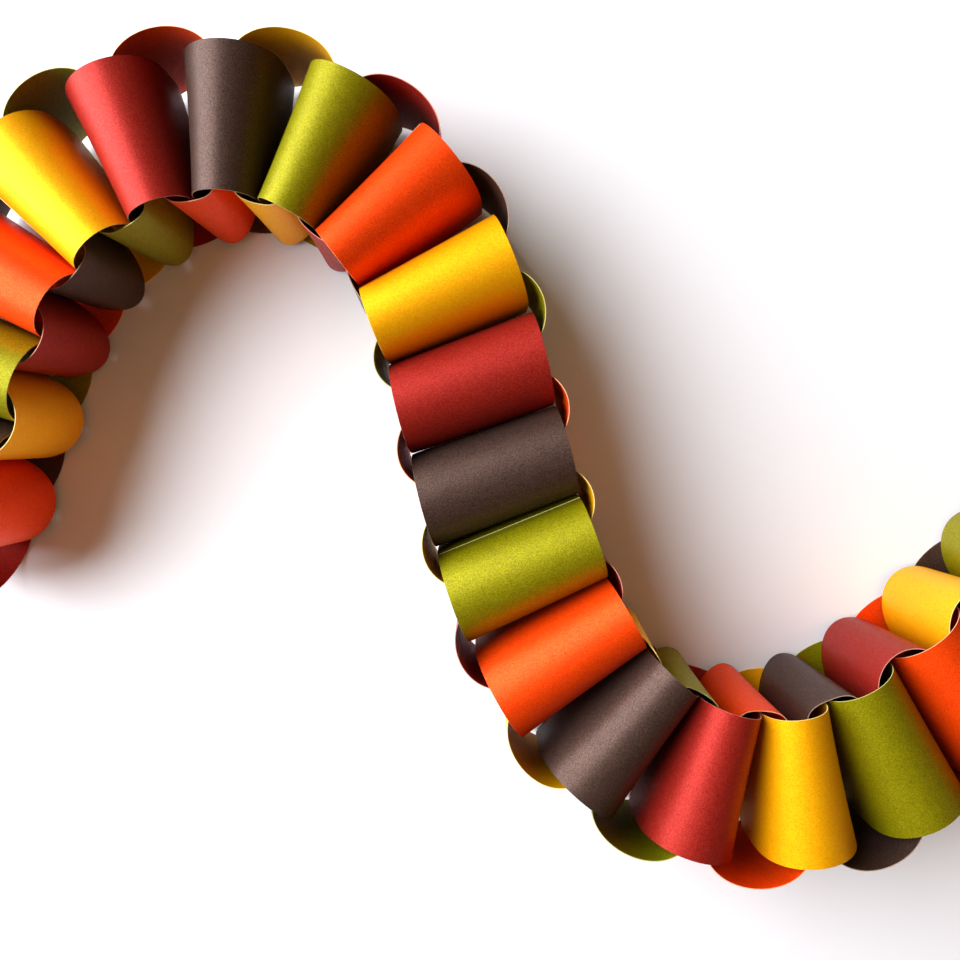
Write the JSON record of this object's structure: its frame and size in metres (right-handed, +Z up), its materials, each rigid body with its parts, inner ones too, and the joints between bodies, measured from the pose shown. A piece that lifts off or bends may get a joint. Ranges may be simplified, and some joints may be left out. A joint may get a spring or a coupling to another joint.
{
  "type": "paper chain garland",
  "caption": "Garland of wide card strips rolled into tall loops, each loop linked through the next, lying in an S on a flat surface.",
  "frame": {"origin": "middle of the garland's footprint, on the surface it lies on", "axes": "+X along the footprint's long side, from the first link's end to the last link's end, +Y across the footprint, +Z up"},
  "size_m": [0.4608, 0.2774, 0.0632],
  "materials": {
    "card_green": "olive green shimmer card, satin",
    "card_red": "red shimmer card, satin",
    "card_orange": "orange shimmer card, satin",
    "card_brown": "brown shimmer card, satin",
    "card_yellow": "golden yellow shimmer card, satin"
  },
  "bodies": {
    "root": {"arch_01_red": "card_red", "collar_02_orange": "card_orange", "arch_03_brown": "card_brown", "collar_04_yellow": "card_yellow", "arch_05_green": "card_green", "collar_06_red": "card_red", "arch_07_orange": "card_orange", "collar_08_brown": "card_brown", "arch_09_yellow": "card_yellow", "collar_10_green": "card_green", "arch_11_red": "card_red", "collar_12_orange": "card_orange", "arch_13_brown": "card_brown", "collar_14_yellow": "card_yellow", "arch_15_green": "card_green", "collar_16_red": "card_red", "arch_17_orange": "card_orange", "collar_18_brown": "card_brown", "arch_19_yellow": "card_yellow", "collar_20_green": "card_green", "arch_21_red": "card_red", "collar_22_orange": "card_orange", "arch_23_brown": "card_brown", "collar_24_yellow": "card_yellow", "arch_25_green": "card_green", "collar_26_red": "card_red", "arch_27_orange": "card_orange", "collar_28_yellow": "card_yellow", "arch_29_brown": "card_brown", "collar_30_green": "card_green", "arch_31_red": "card_red", "collar_32_orange": "card_orange", "arch_33_yellow": "card_yellow", "collar_34_brown": "card_brown", "arch_35_green": "card_green", "collar_36_red": "card_red", "arch_37_orange": "card_orange", "collar_38_yellow": "card_yellow", "arch_39_brown": "card_brown", "collar_40_green": "card_green", "arch_41_red": "card_red"}
  },
  "joints": []
}
